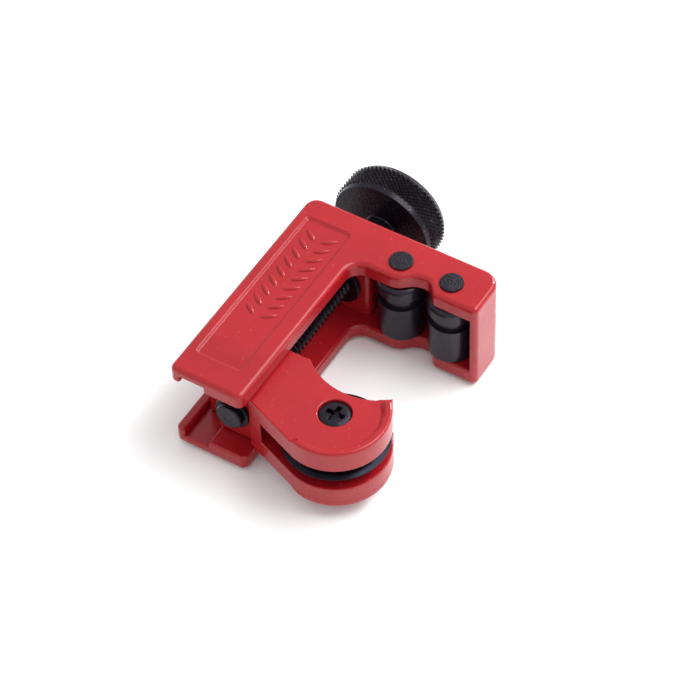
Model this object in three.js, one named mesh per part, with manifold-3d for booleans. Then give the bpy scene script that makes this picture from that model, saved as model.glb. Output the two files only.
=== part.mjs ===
// Mini pipe cutter: a die-cast C frame, a carriage with a cutting wheel that a knurled
// feed screw draws along the frame's spine, and two rollers that hold the pipe.
// Millimetres. X runs along the feed screw from the knob's side to the spine's open end,
// Y from the spine's back towards the mouth, and Z is up with the tool lying on its side.
// Every part is drawn about the tool's middle plane, z = 0.
import * as THREE from 'three';
import { mergeVertices } from 'three/addons/utils/BufferGeometryUtils.js';
import Module from 'manifold-3d';

const wasm = await Module();
wasm.setup();

// ---- driving dimensions -------------------------------------------------------------
const FIT_GAP = 0.1;            // between pieces that are pressed or screwed together
const RUN_GAP = 0.3;            // between pieces that slide or turn

const FRAME = {
  length: 54.2,                 // the spine, from the knob's side to its open end
  reach: 45.9,                  // the arm, from the spine's back to its tip
  thick: 23.2,
  spineWidth: 17.0,
  armDepth: 11.4,
  openCorner: 1.5,
  armCorner: 1.2,
  plate: 3.9,                   // each side plate, and the rail along the spine's inner edge
  skin: 2.3,                    // the spine's plate between its lip and its rail
  lipWidth: 2.3,
  lipDepth: 4.1,
  railY: 7.9,
  knobWall: 8.7,                // the solid block behind the knob
  knobWallEnd: 18.9,
  pocketBack: 1.7,              // the wall behind the rollers
  tipWall: 1.6,
  tipCorner: 4.0,
  heelCorner: 2.8,
  bayRadius: 3.4,
};
// The dip in the arm between the rollers, measured along the arm from the pipe's centre.
const NOTCH = { depth: 2.9, nearEdge: -4.7, nearFloor: -1.3, farFloor: 1.6, farEdge: 4.1, nearRound: 4.0, farRound: 1.4 };
const PANEL = { x0: 5.7, x1: 48.0, y0: 2.6, y1: 13.0, depth: 0.5, corner: 0.8 };

const SCREW = { y: 11.8, radius: 3.175, tipX: 51.8, tipRadius: 3.0, tipChamfer: 0.3, setBack: 0.6 };
const COLLAR = { radius: 5.3, thick: 1.1 };
const GROOVE = { x0: 49.6, x1: 50.5, radius: 2.4 };
const END_RING = { radius: 3.9, inner: 2.55, x0: 49.7, x1: 50.4 };
const WASHER = { radius: 5.4, thick: 0.8 };
const KNOB = { face: -7.8, length: 7.6, radius: 12.1, faceRadius: 11.5, chamfer: 0.9, hub: 3.5, bore: 2.6 };
const DISH = { depth: 0.8, radius: 8.4, rimRadius: 9.2 };
const LOCK_PIN = { x: -4.2, radius: 0.8 };

const ROLLER = { x: 7.0, nearY: 25.8, farY: 37.7, radius: 5.1, bodyRadius: 4.95, length: 15.2, bore: 2.2 };
const ROLLER_CAP = {
  height: 3.4,
  grooveHeight: 2.6,
  grooveRadius: 4.1,
  shoulder: 1.1,
  shoulderStep: 0.35,
  upperSlope: 0.5,
  lowerSlope: 0.3,
};
const RIVET = { shank: 1.9, head: 2.55, headHeight: 0.5, chamfer: 0.15, gap: 0.02 };

const WHEEL = {
  x: 44.9,
  y: 33.0,
  radius: 11.2,
  hubRadius: 6.2,
  hubHeight: 5.0,
  hubStep: 0.6,
  hubSlope: 0.5,
  bevel: 2.6,
  rimHalf: 1.35,
  edgeHalf: 0.05,
  bore: 2.35,
};
const NOSE = { radius: 11.4, half: 8.3, plateau: 7.4, rim: 1.5, hornAngle: THREE.MathUtils.degToRad(134) };
const SLOT = { half: 2.85, clearance: 3.8, endY: 17.6 };
const SLIDER = {
  mouthX: 35.5,                 // the face towards the pipe, beside the spine
  biteRadius: 15.0,             // the hollow in the cheeks that clears the pipe
  biteX: 24.5,
  frontX: 49.3,                 // the end face round the screw's tip
  edgeStart: [50.5, 16.0],      // where the straight front edge leaves the end face
  bodyY: 6.1,
  corner: 2.0,
  footY: 3.0,                   // the foot behind the rails
  footHalf: 9.0,
  footX0: 36.6,
  footX1: 45.6,
  edgeY: 21.4,
  mouthTopY: 20,
};
const WHEEL_SCREW = {
  head: 3.3,
  headHeight: 1.9,
  shank: 2.1,
  recess: 3.45,
  recessDepth: 2.2,
  tip: 1.9,
  tipLength: 0.4,
  inset: 0.6,
};
/** Steps of the screw's domed head: [in from the head's edge, down from its top]. */
const SCREW_DOME = [[0, 0.8], [0.9, 0.1], [1.6, 0]];
const DRIVER_CROSS = { reach: 1.7, half: 0.35, depth: 1.2 };

const FINE = 40;                // facets round the large turned parts
const COARSE = 24;              // facets round the small ones

const pipeY = (ROLLER.nearY + ROLLER.farY) / 2;
const halfThick = FRAME.thick / 2;
const plateInner = halfThick - FRAME.plate;
const knobOuter = KNOB.face - KNOB.length;
const highest = halfThick + RIVET.headHeight;

// ---- finishes -----------------------------------------------------------------------
const redPaint = () => new THREE.MeshStandardMaterial({ color: 0xc4262c, roughness: 0.3, metalness: 0.1 });
const blackSteel = () => new THREE.MeshStandardMaterial({ color: 0x1c1b1f, roughness: 0.42, metalness: 0.8 });
const bluedSteel = () => new THREE.MeshStandardMaterial({ color: 0x2a2c36, roughness: 0.28, metalness: 0.9 });

// ---- solids -------------------------------------------------------------------------
function closed(geometry) {
  geometry.deleteAttribute('normal');
  geometry.deleteAttribute('uv');
  return mergeVertices(geometry, 1e-5);
}

function solid(geometry) {
  const merged = closed(geometry);
  const vertProperties = Float32Array.from(merged.attributes.position.array);
  const triVerts = Uint32Array.from(merged.index.array);
  return new wasm.Manifold(new wasm.Mesh({ numProp: 3, vertProperties, triVerts }));
}

function geometryOf(body) {
  const { vertProperties, triVerts } = body.getMesh();
  const geometry = new THREE.BufferGeometry();
  geometry.setAttribute('position', new THREE.BufferAttribute(vertProperties, 3));
  geometry.setIndex(new THREE.BufferAttribute(triVerts, 1));
  geometry.computeVertexNormals();
  return geometry;
}

const joinAll = (first, ...others) => others.reduce((sum, piece) => sum.add(piece), first);
const cutAll = (first, ...others) => others.reduce((rest, piece) => rest.subtract(piece), first);

/** A closed outline from corners [x, y, radius]; a radius rounds its corner with an arc. */
function roundedShape(corners) {
  const shape = new THREE.Shape();
  const count = corners.length;
  corners.forEach(([x, y, radius = 0], i) => {
    const corner = new THREE.Vector2(x, y);
    const [bx, by] = corners[(i + count - 1) % count];
    const [ax, ay] = corners[(i + 1) % count];
    const back = new THREE.Vector2(bx, by).sub(corner).normalize();
    const ahead = new THREE.Vector2(ax, ay).sub(corner).normalize();
    const half = Math.acos(THREE.MathUtils.clamp(back.dot(ahead), -1, 1)) / 2;
    const reach = radius / Math.tan(half);
    const from = corner.clone().addScaledVector(back, reach);
    const to = corner.clone().addScaledVector(ahead, reach);
    if (i === 0) shape.moveTo(from.x, from.y);
    else shape.lineTo(from.x, from.y);
    if (radius === 0) return;
    const centre = corner.clone().add(back.clone().add(ahead).setLength(radius / Math.sin(half)));
    const startAngle = Math.atan2(from.y - centre.y, from.x - centre.x);
    const endAngle = Math.atan2(to.y - centre.y, to.x - centre.x);
    const clockwise = back.cross(ahead) > 0;
    shape.absarc(centre.x, centre.y, radius, startAngle, endAngle, clockwise);
  });
  shape.closePath();
  return shape;
}

function prism(shape, z0, z1, curveSegments = 6) {
  const geometry = new THREE.ExtrudeGeometry(shape, { depth: z1 - z0, bevelEnabled: false, curveSegments });
  return solid(geometry.translate(0, 0, z0));
}

function block([x0, x1], [y0, y1], [z0, z1]) {
  const geometry = new THREE.BoxGeometry(x1 - x0, y1 - y0, z1 - z0);
  return solid(geometry.translate((x0 + x1) / 2, (y0 + y1) / 2, (z0 + z1) / 2));
}

function rodX(radius, x0, x1, y) {
  const geometry = new THREE.CylinderGeometry(radius, radius, x1 - x0, COARSE).rotateZ(Math.PI / 2);
  return solid(geometry.translate((x0 + x1) / 2, y, 0));
}

function rodZ(radius, x, y, z0, z1, facets = COARSE) {
  const geometry = new THREE.CylinderGeometry(radius, radius, z1 - z0, facets).rotateX(Math.PI / 2);
  return solid(geometry.translate(x, y, (z0 + z1) / 2));
}

/** A turned part about its own axis, from [radius, height] steps. */
function turned(profile, facets = COARSE) {
  return new THREE.LatheGeometry(profile.map(([r, h]) => new THREE.Vector2(r, h)), facets);
}
const turnedAlongX = (profile, facets) => turned(profile, facets).rotateZ(-Math.PI / 2);
const turnedAlongZ = (profile, facets) => turned(profile, facets).rotateX(Math.PI / 2);

// ---- frame --------------------------------------------------------------------------
function frameOutline() {
  const { length, reach, spineWidth, armDepth } = FRAME;
  const notchFloor = armDepth - NOTCH.depth;
  return roundedShape([
    [0, 0, FRAME.heelCorner],
    [length, 0, FRAME.openCorner],
    [length, spineWidth, FRAME.openCorner],
    [armDepth, spineWidth, FRAME.bayRadius],
    [armDepth, pipeY + NOTCH.nearEdge, NOTCH.nearRound],
    [notchFloor, pipeY + NOTCH.nearFloor, NOTCH.nearRound],
    [notchFloor, pipeY + NOTCH.farFloor, NOTCH.farRound],
    [armDepth, pipeY + NOTCH.farEdge, NOTCH.farRound],
    [armDepth, reach, FRAME.armCorner],
    [0, reach, FRAME.tipCorner],
  ]);
}

function spineChannel() {
  const { length, knobWall, spineWidth, railY, lipWidth, skin, lipDepth } = FRAME;
  const run = [knobWall, length + 1];
  const troughHalf = halfThick - skin;
  const openHalf = halfThick - lipDepth;
  return joinAll(
    block(run, [railY - 1, spineWidth + 4], [-plateInner, plateInner]),
    block(run, [lipWidth, railY], [-troughHalf, troughHalf]),
    block(run, [-1, lipWidth + 1], [-openHalf, openHalf]),
  );
}

function rollerPocket() {
  const { knobWallEnd, pocketBack, reach, tipWall, armDepth } = FRAME;
  return block([pocketBack, armDepth + 1], [knobWallEnd, reach - tipWall], [-plateInner, plateInner]);
}

function panelRecess(side) {
  const { x0, x1, y0, y1, depth, corner } = PANEL;
  const outline = roundedShape([[x0, y0, corner], [x1, y0, corner], [x1, y1, corner], [x0, y1, corner]]);
  const floor = halfThick - depth;
  return side > 0 ? prism(outline, floor, halfThick + 1, 3) : prism(outline, -halfThick - 1, -floor, 3);
}

function frame() {
  const casting = prism(frameOutline(), -halfThick, halfThick);
  const rivetHole = (y) => rodZ(RIVET.shank + FIT_GAP, ROLLER.x, y, -halfThick - 1, halfThick + 1);
  const screwHole = rodX(SCREW.radius + RUN_GAP, -1, FRAME.knobWall + 1, SCREW.y);
  return cutAll(
    casting,
    spineChannel(),
    rollerPocket(),
    panelRecess(1),
    panelRecess(-1),
    rivetHole(ROLLER.nearY),
    rivetHole(ROLLER.farY),
    screwHole,
  );
}

// ---- slider -------------------------------------------------------------------------
/** The angle on the nose where the straight front edge is tangent to it. */
function noseTangent() {
  const [x, y] = SLIDER.edgeStart;
  const toFront = new THREE.Vector2(x - WHEEL.x, y - WHEEL.y);
  const turn = Math.acos(NOSE.radius / toFront.length());
  return Math.atan2(toFront.y, toFront.x) + turn;
}

/** The cheeks seen from above: body, hollow, horn, nose and straight front edge. */
function cheekOutline() {
  const { mouthX, biteX, biteRadius, edgeY, frontX, bodyY, corner } = SLIDER;
  const hollowStart = Math.asin((edgeY - pipeY) / biteRadius);
  const hornY = WHEEL.y + NOSE.radius * Math.sin(NOSE.hornAngle);
  const hollowEnd = Math.asin((hornY - pipeY) / biteRadius);
  const shape = new THREE.Shape();
  shape.moveTo(frontX - corner, bodyY);
  shape.lineTo(frontX, bodyY + corner);
  shape.lineTo(frontX, SLIDER.edgeStart[1]);
  shape.lineTo(...SLIDER.edgeStart);
  shape.absarc(WHEEL.x, WHEEL.y, NOSE.radius, noseTangent(), NOSE.hornAngle, false);
  shape.absarc(biteX, pipeY, biteRadius, hollowEnd, hollowStart, true);
  shape.lineTo(mouthX, SLIDER.mouthTopY);
  shape.lineTo(mouthX, bodyY);
  shape.closePath();
  return shape;
}

/** The raised lip that follows the nose on each cheek and ends in the horn. */
function noseRim(side) {
  const outer = NOSE.radius;
  const inner = outer - NOSE.rim;
  const start = noseTangent();
  const end = NOSE.hornAngle;
  const ring = new THREE.Shape();
  ring.absarc(WHEEL.x, WHEEL.y, outer, start, end, false);
  ring.absarc(WHEEL.x, WHEEL.y, inner, end, start, true);
  ring.closePath();
  const overlap = 0.5;
  return side > 0
    ? prism(ring, NOSE.plateau - overlap, NOSE.half, 16)
    : prism(ring, -NOSE.half, -NOSE.plateau + overlap, 16);
}

function wheelSlot() {
  const { half, clearance, endY } = SLOT;
  const radius = WHEEL.radius + clearance;
  const well = rodZ(radius, WHEEL.x, WHEEL.y, -half, half, FINE);
  const beyondEnd = block([WHEEL.x - 2 * radius, WHEEL.x + 2 * radius], [0, endY], [-half - 1, half + 1]);
  return well.subtract(beyondEnd);
}

function slider() {
  const { footX0, footX1, footY, footHalf, frontX, mouthX } = SLIDER;
  const body = prism(cheekOutline(), -NOSE.plateau, NOSE.plateau, 16);
  const foot = block([footX0, footX1], [footY, FRAME.railY - RUN_GAP], [-footHalf, footHalf]);
  return cutAll(
    joinAll(body, foot, noseRim(1), noseRim(-1)),
    wheelSlot(),
    rodX(SCREW.radius + RUN_GAP, mouthX - 5, frontX + 5, SCREW.y),
    rodZ(WHEEL_SCREW.shank + FIT_GAP, WHEEL.x, WHEEL.y, -NOSE.half - 1, NOSE.half + 1),
    rodZ(WHEEL_SCREW.recess, WHEEL.x, WHEEL.y, NOSE.plateau - WHEEL_SCREW.recessDepth, NOSE.half + 1),
  );
}

// ---- feed screw and knob ------------------------------------------------------------
function feedScrew() {
  const { radius, tipX, tipRadius, tipChamfer } = SCREW;
  const end = knobOuter + SCREW.setBack;
  const collarFace = FRAME.knobWall + FIT_GAP + COLLAR.thick;
  return turnedAlongX([
    [0, end],
    [KNOB.bore, end],
    [KNOB.bore, -WASHER.thick - 2 * FIT_GAP],
    [radius, -WASHER.thick - 2 * FIT_GAP],
    [radius, FRAME.knobWall + FIT_GAP],
    [COLLAR.radius, FRAME.knobWall + FIT_GAP],
    [COLLAR.radius, collarFace],
    [radius, collarFace],
    [radius, GROOVE.x0],
    [GROOVE.radius, GROOVE.x0],
    [GROOVE.radius, GROOVE.x1],
    [tipRadius, GROOVE.x1],
    [tipRadius, tipX - tipChamfer],
    [tipRadius - tipChamfer, tipX],
    [0, tipX],
  ]);
}

function endRing() {
  const { radius, inner, x0, x1 } = END_RING;
  return turnedAlongX([[inner, x0], [radius, x0], [radius, x1], [inner, x1], [inner, x0]]);
}

function thrustWasher() {
  const inner = SCREW.radius + FIT_GAP;
  const x1 = -FIT_GAP;
  const x0 = x1 - WASHER.thick;
  return turnedAlongX([[inner, x0], [WASHER.radius, x0], [WASHER.radius, x1], [inner, x1], [inner, x0]]);
}

function knob() {
  const { face, radius, faceRadius, chamfer, hub, bore } = KNOB;
  const inner = bore + FIT_GAP;
  const hubEnd = -WASHER.thick - 2 * FIT_GAP;
  const dishFloor = knobOuter + DISH.depth;
  return turnedAlongX([
    [inner, dishFloor],
    [DISH.radius, dishFloor],
    [DISH.rimRadius, knobOuter],
    [radius - chamfer, knobOuter],
    [radius, knobOuter + chamfer],
    [radius, face - chamfer],
    [faceRadius, face],
    [hub, face],
    [hub, hubEnd],
    [inner, hubEnd],
    [inner, dishFloor],
  ], FINE);
}

// ---- rollers, rivets and cutting wheel ----------------------------------------------
function roller() {
  const { radius, bodyRadius, length, bore } = ROLLER;
  const { height, grooveHeight, grooveRadius, shoulder, shoulderStep, upperSlope, lowerSlope } = ROLLER_CAP;
  const top = length / 2;
  const grooveTop = top - height;
  const bodyTop = grooveTop - grooveHeight;
  return turnedAlongZ([
    [bore, -top],
    [bodyRadius - lowerSlope, -top],
    [bodyRadius, -top + lowerSlope],
    [bodyRadius, bodyTop],
    [grooveRadius, bodyTop + lowerSlope],
    [grooveRadius, grooveTop - upperSlope],
    [radius, grooveTop],
    [radius, top - shoulder],
    [radius - shoulderStep, top - shoulderStep],
    [radius - shoulder, top],
    [bore, top],
    [bore, -top],
  ], 32);
}

/** A rivet is drawn in one piece: shank, factory head and the head formed on assembly. */
function rollerRivet() {
  const { shank, head, headHeight, chamfer, gap } = RIVET;
  const under = halfThick + gap;
  const top = halfThick + headHeight;
  return turnedAlongZ([
    [0, -top],
    [head - chamfer, -top],
    [head, -top + chamfer],
    [head, -under],
    [shank, -under],
    [shank, under],
    [head, under],
    [head, top - chamfer],
    [head - chamfer, top],
    [0, top],
  ]);
}

function cutterWheel() {
  const { radius, hubRadius, hubHeight, hubStep, hubSlope, bevel, rimHalf, edgeHalf, bore } = WHEEL;
  const halfHub = hubHeight / 2;
  return turnedAlongZ([
    [bore, -halfHub],
    [hubRadius, -halfHub],
    [hubRadius + hubStep, -halfHub + hubSlope],
    [radius - bevel, -rimHalf],
    [radius, -edgeHalf],
    [radius, edgeHalf],
    [radius - bevel, rimHalf],
    [hubRadius + hubStep, halfHub - hubSlope],
    [hubRadius, halfHub],
    [bore, halfHub],
    [bore, -halfHub],
  ], FINE);
}

function wheelScrew() {
  const { head, headHeight, shank, recessDepth, tip, tipLength, inset } = WHEEL_SCREW;
  const seat = NOSE.plateau - recessDepth + FIT_GAP;
  const top = seat + headHeight;
  const end = -NOSE.plateau + inset;
  const pin = solid(turnedAlongZ([
    [0, end],
    [tip, end],
    [shank, end + tipLength],
    [shank, seat],
    [head, seat],
    ...SCREW_DOME.map(([inward, down]) => [head - inward, top - down]),
    [0, top],
  ]));
  const { reach, half, depth } = DRIVER_CROSS;
  const slotAcross = (dx, dy) => block([-dx, dx], [-dy, dy], [top - depth, top + 1]);
  return cutAll(pin, slotAcross(reach, half), slotAcross(half, reach));
}

function knobLockPin() {
  const length = 2 * KNOB.hub - 0.4;
  return new THREE.CylinderGeometry(LOCK_PIN.radius, LOCK_PIN.radius, length, 16);
}

// ---- assembly -----------------------------------------------------------------------
function mesh(name, geometry, material, position = [0, 0, 0]) {
  const piece = new THREE.Mesh(geometry, material);
  piece.name = name;
  piece.position.set(...position);
  return piece;
}

const onScrew = [0, SCREW.y, 0];
const lockPinHole = (radius) => {
  const drill = new THREE.CylinderGeometry(radius, radius, 3 * KNOB.hub, 16);
  return solid(drill.translate(LOCK_PIN.x, 0, 0));
};
const drilled = (geometry) => geometryOf(solid(geometry).subtract(lockPinHole(LOCK_PIN.radius + FIT_GAP)));

const cutter = new THREE.Group();
cutter.add(
  mesh('frame', geometryOf(frame()), redPaint()),
  mesh('slider', geometryOf(slider()), redPaint()),
  mesh('feed_screw', drilled(feedScrew()), blackSteel(), onScrew),
  mesh('screw_end_ring', closed(endRing()), blackSteel(), onScrew),
  mesh('thrust_washer', closed(thrustWasher()), blackSteel(), onScrew),
  mesh('knob', drilled(knob()), blackSteel(), onScrew),
  mesh('knob_lock_pin', closed(knobLockPin()), blackSteel(), [LOCK_PIN.x, SCREW.y, 0]),
  mesh('cutter_wheel', closed(cutterWheel()), bluedSteel(), [WHEEL.x, WHEEL.y, 0]),
  mesh('wheel_screw', geometryOf(wheelScrew()), blackSteel(), [WHEEL.x, WHEEL.y, 0]),
);
for (const [end, y] of [['near', ROLLER.nearY], ['far', ROLLER.farY]]) {
  cutter.add(
    mesh(`roller_${end}`, closed(roller()), blackSteel(), [ROLLER.x, y, 0]),
    mesh(`roller_rivet_${end}`, closed(rollerRivet()), blackSteel(), [ROLLER.x, y, 0]),
  );
}

// The origin is the middle of the tool's base, with the tool lying on its side.
const noseEnd = WHEEL.x + NOSE.radius;
const knobBack = SCREW.y - KNOB.radius;
cutter.position.set(-(knobOuter + noseEnd) / 2, -(knobBack + FRAME.reach) / 2, highest);

const part = new THREE.Group();
part.add(cutter);

export default part;
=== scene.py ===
"""Pipe cutter: painted castings, feed screw with knurled knob, pipe rollers and cutting wheel.

Each piece is drawn in millimetres about the tool's own datum: the frame's corner at the knob's
end of the spine's back, at half the frame's thickness. X runs along the feed screw, Y towards
the arm's tip and Z is up with the tool on its side. place() moves a finished piece into the frame.
"""

import math

import bmesh
import bpy
from bpy.props import FloatProperty, FloatVectorProperty, IntProperty, PointerProperty
from mathutils import Matrix, Vector


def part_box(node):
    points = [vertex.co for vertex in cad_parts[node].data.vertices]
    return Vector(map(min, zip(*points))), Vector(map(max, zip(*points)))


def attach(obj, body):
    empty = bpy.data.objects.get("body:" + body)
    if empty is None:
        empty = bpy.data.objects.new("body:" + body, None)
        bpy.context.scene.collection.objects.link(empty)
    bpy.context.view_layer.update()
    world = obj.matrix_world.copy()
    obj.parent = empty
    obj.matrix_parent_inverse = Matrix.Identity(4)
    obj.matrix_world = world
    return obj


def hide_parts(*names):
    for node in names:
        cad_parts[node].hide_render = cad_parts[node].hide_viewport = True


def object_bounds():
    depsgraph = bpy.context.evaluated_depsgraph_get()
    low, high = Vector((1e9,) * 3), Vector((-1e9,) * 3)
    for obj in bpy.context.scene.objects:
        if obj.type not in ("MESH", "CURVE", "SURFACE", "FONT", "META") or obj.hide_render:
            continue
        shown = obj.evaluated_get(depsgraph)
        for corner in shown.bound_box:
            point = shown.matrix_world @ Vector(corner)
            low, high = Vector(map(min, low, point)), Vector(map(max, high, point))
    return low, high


bl_info = {
    "name": "Pipe cutter",
    "version": (1, 0, 0),
    "blender": (4, 5, 0),
    "location": "3D View > Sidebar > Pipe cutter",
    "description": "Builds a small pipe cutter with its feed screw, rollers and cutting wheel",
    "category": "Object",
}

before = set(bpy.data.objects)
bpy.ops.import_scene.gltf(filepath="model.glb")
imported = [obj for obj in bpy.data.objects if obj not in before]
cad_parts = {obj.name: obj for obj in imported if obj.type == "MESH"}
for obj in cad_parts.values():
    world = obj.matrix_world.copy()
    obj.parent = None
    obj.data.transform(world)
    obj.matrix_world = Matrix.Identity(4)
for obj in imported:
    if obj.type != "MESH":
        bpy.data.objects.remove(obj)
CAD_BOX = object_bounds()

MM = 1000.0
FRAME_LOW, FRAME_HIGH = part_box("frame")
DATUM = Vector((FRAME_LOW.x, FRAME_LOW.y, (FRAME_LOW.z + FRAME_HIGH.z) / 2))
EASY = 0.02  # millimetres by which one closed shell runs into the next
WELD = 1e-4  # millimetres within which doubled corners are merged
SHARP = math.radians(24)  # edges flatter than this are left unrounded
FLAT = math.radians(0.4)  # facets closer than this to one plane are joined
NEAR = 0.1  # millimetres of slack in telling which plane an edge lies in
BORE = 3.475  # radius of the holes that the feed screw passes through


def mm_box(node):
    """Lowest and highest corner of a CAD node, in the drawing's millimetres."""
    low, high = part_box(node)
    return (low - DATUM) * MM, (high - DATUM) * MM


def mm_middle(node):
    low, high = mm_box(node)
    return (low + high) / 2


def mm_half(node):
    """Half of a CAD node's size along X, Y and Z."""
    low, high = mm_box(node)
    return [(b - a) / 2 for a, b in zip(low, high)]


def axle_place(node):
    """The shift that carries a piece turned about X onto a node's own axis."""
    middle = mm_middle(node)
    return Vector((0, middle.y, middle.z))


def mouth_middle():
    """Height along Y of a pipe that rests against both rollers."""
    return (mm_middle("roller_near").y + mm_middle("roller_far").y) / 2


# ---- sizes and finishes --------------------------------------------------------------


def length(name, text, value):
    """A length property. Its default is given in millimetres."""
    return FloatProperty(
        name=name, description=text, default=value / MM, min=0.0, unit="LENGTH", precision=5
    )


def either_way(name, text, value):
    """A distance that may be below zero. Its default is given in millimetres."""
    return FloatProperty(name=name, description=text, default=value / MM, unit="LENGTH", precision=5)


def bearing(name, text, degrees):
    return FloatProperty(name=name, description=text, default=math.radians(degrees), subtype="ANGLE")


def power(name, text, watts):
    return FloatProperty(name=name, description=text, default=watts, min=0.0, unit="POWER")


def count(name, text, value, least):
    return IntProperty(name=name, description=text, default=value, min=least)


def share(name, text, value, top=1.0):
    return FloatProperty(name=name, description=text, default=value, min=0.0, max=top)


def tint(name, text, value):
    return FloatVectorProperty(
        name=name, description=text, default=value, size=3, min=0.0, max=1.0, subtype="COLOR"
    )


class CutterFrameSizes(bpy.types.PropertyGroup):
    outer_edge: length("Outer edge", "Rounding of the casting's outer edges", 1.1)
    plate_edge: length("Plate edge", "Rounding of the side plates' inner edges", 0.6)
    plate: length("Side plate", "Thickness of each side plate", 3.9)
    skin: length("Trough floor", "Thickness of the plate between its lip and its rail", 2.3)
    lip_width: length("Lip width", "Width of the lip along the spine's back", 2.3)
    lip_depth: length("Lip depth", "Depth of the lip below the plate's face", 4.1)
    rail: length("Rail", "Distance of the rail's edge from the spine's back", 7.9)
    knob_wall: length("Knob wall", "Thickness of the block behind the knob", 8.7)
    pocket_back: length("Pocket back", "Thickness of the wall behind the rollers", 1.7)
    tip_wall: length("Tip wall", "Thickness of the wall at the arm's tip", 1.6)
    bars: count("Grip bars", "Raised bars in each row of the panel", 9, 0)


class CutterCarriageSizes(bpy.types.PropertyGroup):
    cheek_edge: length("Cheek edge", "Rounding of the cheeks' outer edges", 0.4)
    slot_edge: length("Slot edge", "Rounding of the wheel slot's edges", 0.25)
    lip_width: length("Lip width", "Width of the raised lip round the nose", 2.3)
    lip_height: length("Lip height", "Height of the lip above the cheek", 0.9)
    slot: length("Wheel slot", "Width of the slot that holds the cutting wheel", 5.7)
    recess: length("Screw recess", "Radius of the recess round the wheel screw's head", 3.45)


class CutterScrewSizes(bpy.types.PropertyGroup):
    pitch: length("Thread pitch", "Distance between the thread's turns", 1.27)
    thread_depth: length("Thread depth", "Depth of the thread's groove", 0.72)
    collar: length("Collar radius", "Radius of the collar inside the frame", 5.3)
    groove: length("Groove radius", "Radius of the groove that holds the end ring", 2.4)


class CutterKnobSizes(bpy.types.PropertyGroup):
    diamonds: count("Diamonds", "Knurl diamonds round the knob", 66, 12)
    rows: count("Rows", "Half rows of diamonds across the knob", 12, 4)
    knurl_depth: length("Knurl depth", "Depth of the knurl's grooves", 0.5)


class CutterWheelSizes(bpy.types.PropertyGroup):
    shoulder: length("Roller shoulder", "Rounding of the roller's end", 1.2)
    hub: length("Wheel hub", "Radius of the cutting wheel's hub", 6.2)
    cross: length("Driver cross", "Reach of the cross in the screw's head from its middle", 2.0)


class CutterFinishes(bpy.types.PropertyGroup):
    paint: tint("Red paint", "Colour of the paint on the castings", (0.330, 0.0080, 0.0125))
    paint_deep: tint("Deep red", "Colour of the paint where it lies thick", (0.285, 0.0062, 0.0105))
    oxide: tint("Black oxide", "Colour of the blackened steel", (0.0085, 0.0062, 0.0110))
    # colour of the oxide's light grains: partly its own grain, partly painted sparkle standing in for
    # glints
    oxide_grain_sparkle: tint("Oxide grains and sparkle", "Colour of the oxide's light grains, which partly paint its sparkle", (0.10, 0.095, 0.12))
    roller: tint("Roller steel", "Colour of the rollers' finish", (0.0125, 0.0088, 0.0165))
    blued: tint("Blued steel", "Colour of the cutting wheel", (0.011, 0.0115, 0.020))
    paint_roughness: share("Paint roughness", "Roughness of the paint", 0.26)
    oxide_roughness: share("Oxide roughness", "Roughness of the blackened steel", 0.40)


class CutterStudio(bpy.types.PropertyGroup):
    azimuth: bearing("Azimuth", "Camera's angle round the tool", 122.95)
    elevation: bearing("Elevation", "Camera's angle above the floor", 49.48)
    roll: bearing("Roll", "Camera's turn about its own line of sight", -2.18)
    distance: length("Distance", "From the camera to the tool", 616.7)
    slide: either_way("Slide", "Camera's shift to the right", -1.2)
    lift: either_way("Lift", "Camera's shift upwards", -2.8)
    lens: FloatProperty(name="Lens", description="Focal length", default=154.8, subtype="DISTANCE_CAMERA")
    fill: share("Fill", "Strength of the light from all around", 0.92, 10.0)
    key: power("Key", "Power of the large light overhead", 1.9)
    rim: power("Rim", "Power of the light behind the tool", 1.6)


# ---- solids --------------------------------------------------------------------------


def only(kind, items):
    return [item for item in items if isinstance(item, kind)]


def everything(bm):
    return bm.verts[:] + bm.edges[:] + bm.faces[:]


def face_outward(bm):
    bmesh.ops.recalc_face_normals(bm, faces=bm.faces)
    return bm


def move(bm, offset):
    bmesh.ops.translate(bm, vec=offset, verts=bm.verts)
    return bm


def turn(bm, matrix, about=(0, 0, 0)):
    bmesh.ops.rotate(bm, cent=about, matrix=matrix, verts=bm.verts)
    return bm


def turn_by(bm, radians, axis, about=(0, 0, 0)):
    return turn(bm, Matrix.Rotation(radians, 3, axis), about)


def stand_up(bm):
    """Turns a solid's own X axis to Z."""
    return turn_by(bm, -math.pi / 2, "Y")


def spin_round(bm, steps):
    """Turns a chain of edges once round the X axis into a closed skin."""
    bmesh.ops.spin(bm, geom=bm.verts[:] + bm.edges[:], cent=(0, 0, 0), axis=(1, 0, 0),
                   angle=math.tau, steps=steps, use_merge=True)


def trim(bm, point, outward):
    """Cuts away what lies beyond a plane and closes the cut."""
    cut = bmesh.ops.bisect_plane(
        bm, geom=everything(bm), plane_co=point, plane_no=outward, clear_outer=True
    )
    bmesh.ops.holes_fill(bm, edges=only(bmesh.types.BMEdge, cut["geom_cut"]))


def rounded_face(corners, steps=6):
    """One flat face from corners (x, y, radius), with each corner that has a radius rounded.

    A corner of half a millimetre or less is rounded in two steps.
    """
    bm = bmesh.new()
    verts = [bm.verts.new((x, y, 0.0)) for x, y, _ in corners]
    bm.faces.new(verts)
    points = [Vector((x, y)) for x, y, _ in corners]
    for i, (_, _, radius) in enumerate(corners):
        if radius <= 0:
            continue
        back = (points[i - 1] - points[i]).normalized()
        ahead = (points[(i + 1) % len(points)] - points[i]).normalized()
        half = back.angle(ahead) / 2
        bmesh.ops.bevel(
            bm,
            geom=[verts[i]],
            offset=radius / math.tan(half),
            offset_type="OFFSET",
            segments=steps if radius > 0.5 else 2,
            profile=0.5,
            affect="VERTICES",
            material=-1,
        )
    return bm


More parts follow.
